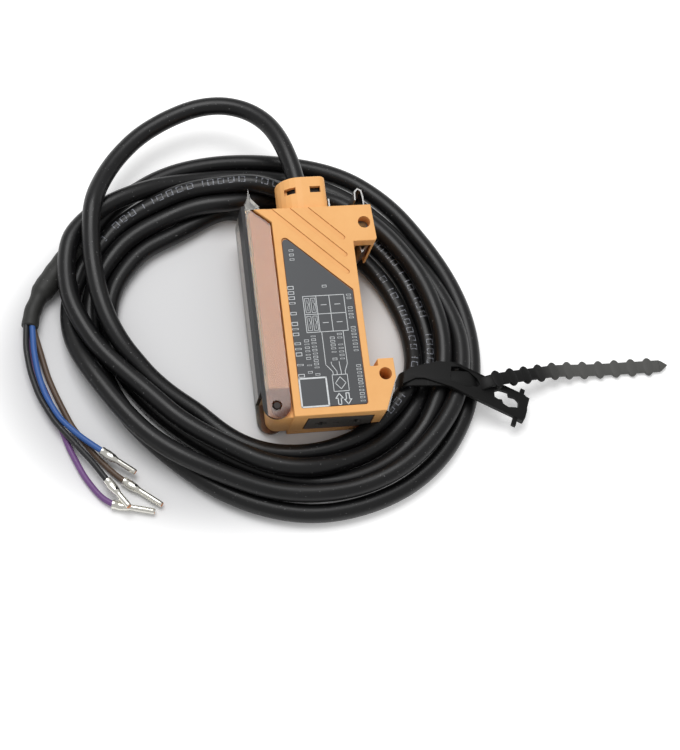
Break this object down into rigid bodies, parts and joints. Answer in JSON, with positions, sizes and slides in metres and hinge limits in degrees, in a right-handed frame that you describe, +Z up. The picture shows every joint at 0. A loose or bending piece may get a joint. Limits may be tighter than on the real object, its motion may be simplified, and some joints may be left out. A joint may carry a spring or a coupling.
{
  "type": "fibre optic amplifier",
  "caption": "Slim orange fibre optic amplifier for a 35 mm rail, with a smoked flip cover, two fibre ports and a coiled lead held by a beaded tie.",
  "frame": {"origin": "on the table, centred under the housing", "axes": "+Y along the housing from the fibre ports to the cable gland, +X from the flip cover to the rail side, +Z up; the housing leans 7 degrees about X over its coiled lead"},
  "size_m": [0.1767, 0.1266, 0.0233],
  "materials": {
    "orange_moulding": "satin, slightly textured",
    "label_grey": "satin film",
    "smoked_clear": "clear, smoked, polished",
    "black_moulding": "matte",
    "dark_grey_moulding": "matte",
    "spring_steel": "bright rolled strip",
    "tinned_contact": "tinned, bright",
    "board_green": "solder mask",
    "chip_black": "matte",
    "cable_jacket": "satin jacket",
    "tie_nylon": "satin nylon",
    "core_blue_skin": "satin",
    "core_violet_skin": "satin",
    "core_brown_skin": "satin",
    "button_grey": "matte",
    "indicator_amber": "clear tinted",
    "indicator_green": "clear tinted"
  },
  "bodies": {
    "body": {"housing_body": "orange_moulding", "housing_lid": "orange_moulding", "label_plate": "label_grey", "hinge_pin": "spring_steel", "fibre_port_plate": "dark_grey_moulding", "optic_block": "black_moulding", "emitter_led": "button_grey", "receiver_diode": "black_moulding", "strain_relief": "black_moulding", "front_panel": "black_moulding", "button_switch_on": "chip_black", "button_switch_off": "chip_black", "light_pipe_power": "indicator_green", "light_pipe_signal": "indicator_amber", "indicator_power": "button_grey", "indicator_signal": "button_grey", "circuit_board": "board_green", "controller_chip": "chip_black", "output_chip": "chip_black", "rail_spring": "spring_steel", "foot_spring": "spring_steel", "cable_lead": "cable_jacket", "cable_coil": "cable_jacket", "cable_tail": "cable_jacket", "end_sleeve": "black_moulding", "core_blue": "core_blue_skin", "core_violet": "core_violet_skin", "core_brown": "core_brown_skin", "core_black": "cable_jacket", "pin_blue": "tinned_contact", "pin_violet": "tinned_contact", "pin_brown": "tinned_contact", "pin_black": "tinned_contact", "cable_tie": "tie_nylon"},
    "cover": {"flip_cover": "smoked_clear"},
    "button_on": {"teach_button_on": "button_grey"},
    "button_off": {"teach_button_off": "button_grey"}
  },
  "joints": [
    {"name": "cover_hinge", "type": "hinge", "parent": "body", "child": "cover", "pos_m": [-0.01443, -0.03022, 0.00858], "axis": [0, -0.1219, 0.9925], "range_deg": [0, 35]},
    {"name": "button_on_push", "type": "slide", "parent": "body", "child": "button_on", "axis": [1, 0, 0], "range_m": [0, 0.0005], "stiffness_N_per_m": 600},
    {"name": "button_off_push", "type": "slide", "parent": "body", "child": "button_off", "axis": [1, 0, 0], "range_m": [0, 0.0005], "stiffness_N_per_m": 600}
  ]
}
